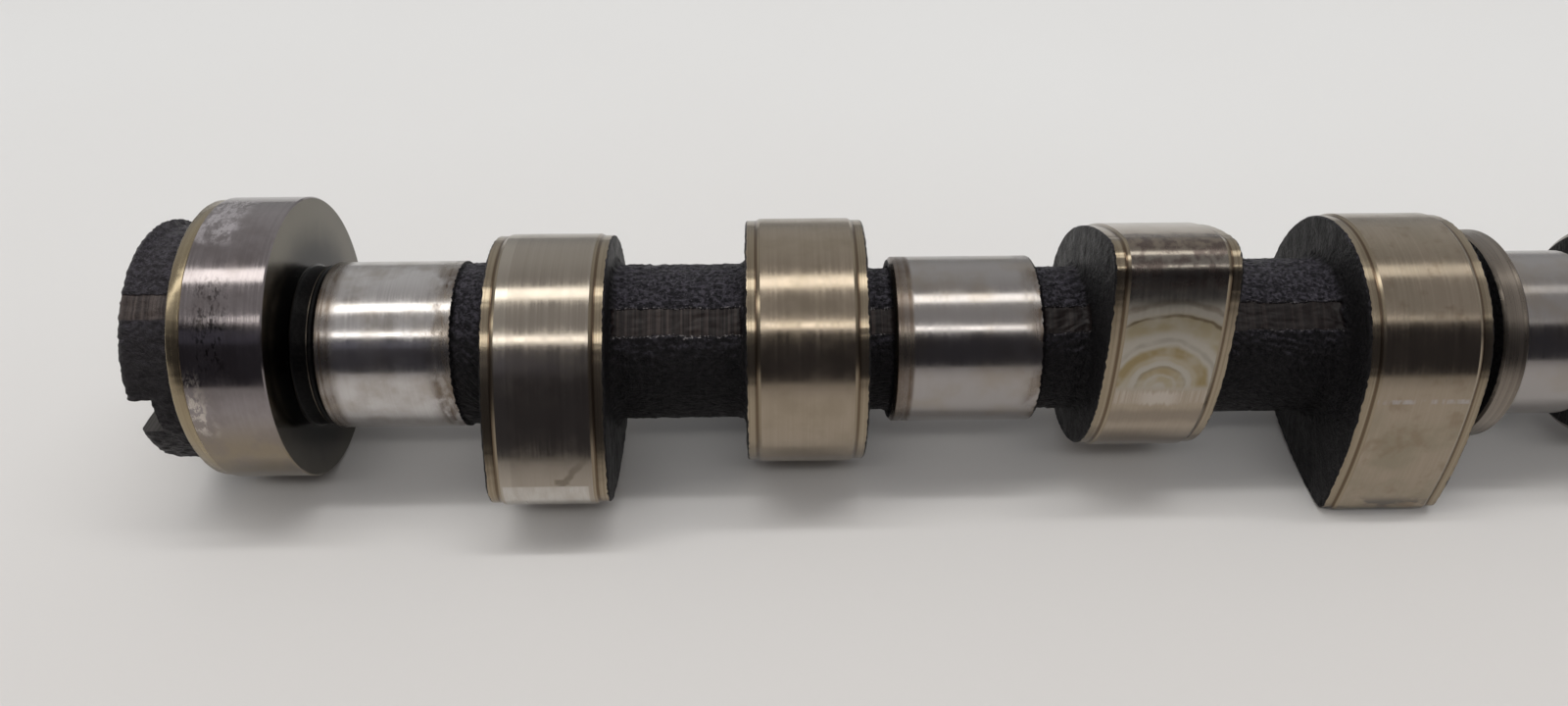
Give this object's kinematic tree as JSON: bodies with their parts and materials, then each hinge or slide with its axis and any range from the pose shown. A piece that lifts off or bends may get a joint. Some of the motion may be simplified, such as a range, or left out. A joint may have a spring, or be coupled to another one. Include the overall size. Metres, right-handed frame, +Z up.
{
  "type": "camshaft",
  "caption": "One-piece cast camshaft: ground bearing journals, paired flat-tappet cams, thrust collar, rear eccentric with a drive slot, and a bolted pulley seat.",
  "frame": {"origin": "on the shaft axis, half way along the front bearing journal beside the thrust collar", "axes": "+X along the shaft towards the front (drive) end, +Z up as the camshaft lies at rest on two cam noses and its rear eccentric"},
  "size_m": [0.249, 0.0471, 0.0452],
  "materials": {
    "cast_iron": "ground cams and journals, rough as-cast shaft between them"
  },
  "bodies": {
    "root": {"camshaft": "cast_iron"}
  },
  "joints": []
}
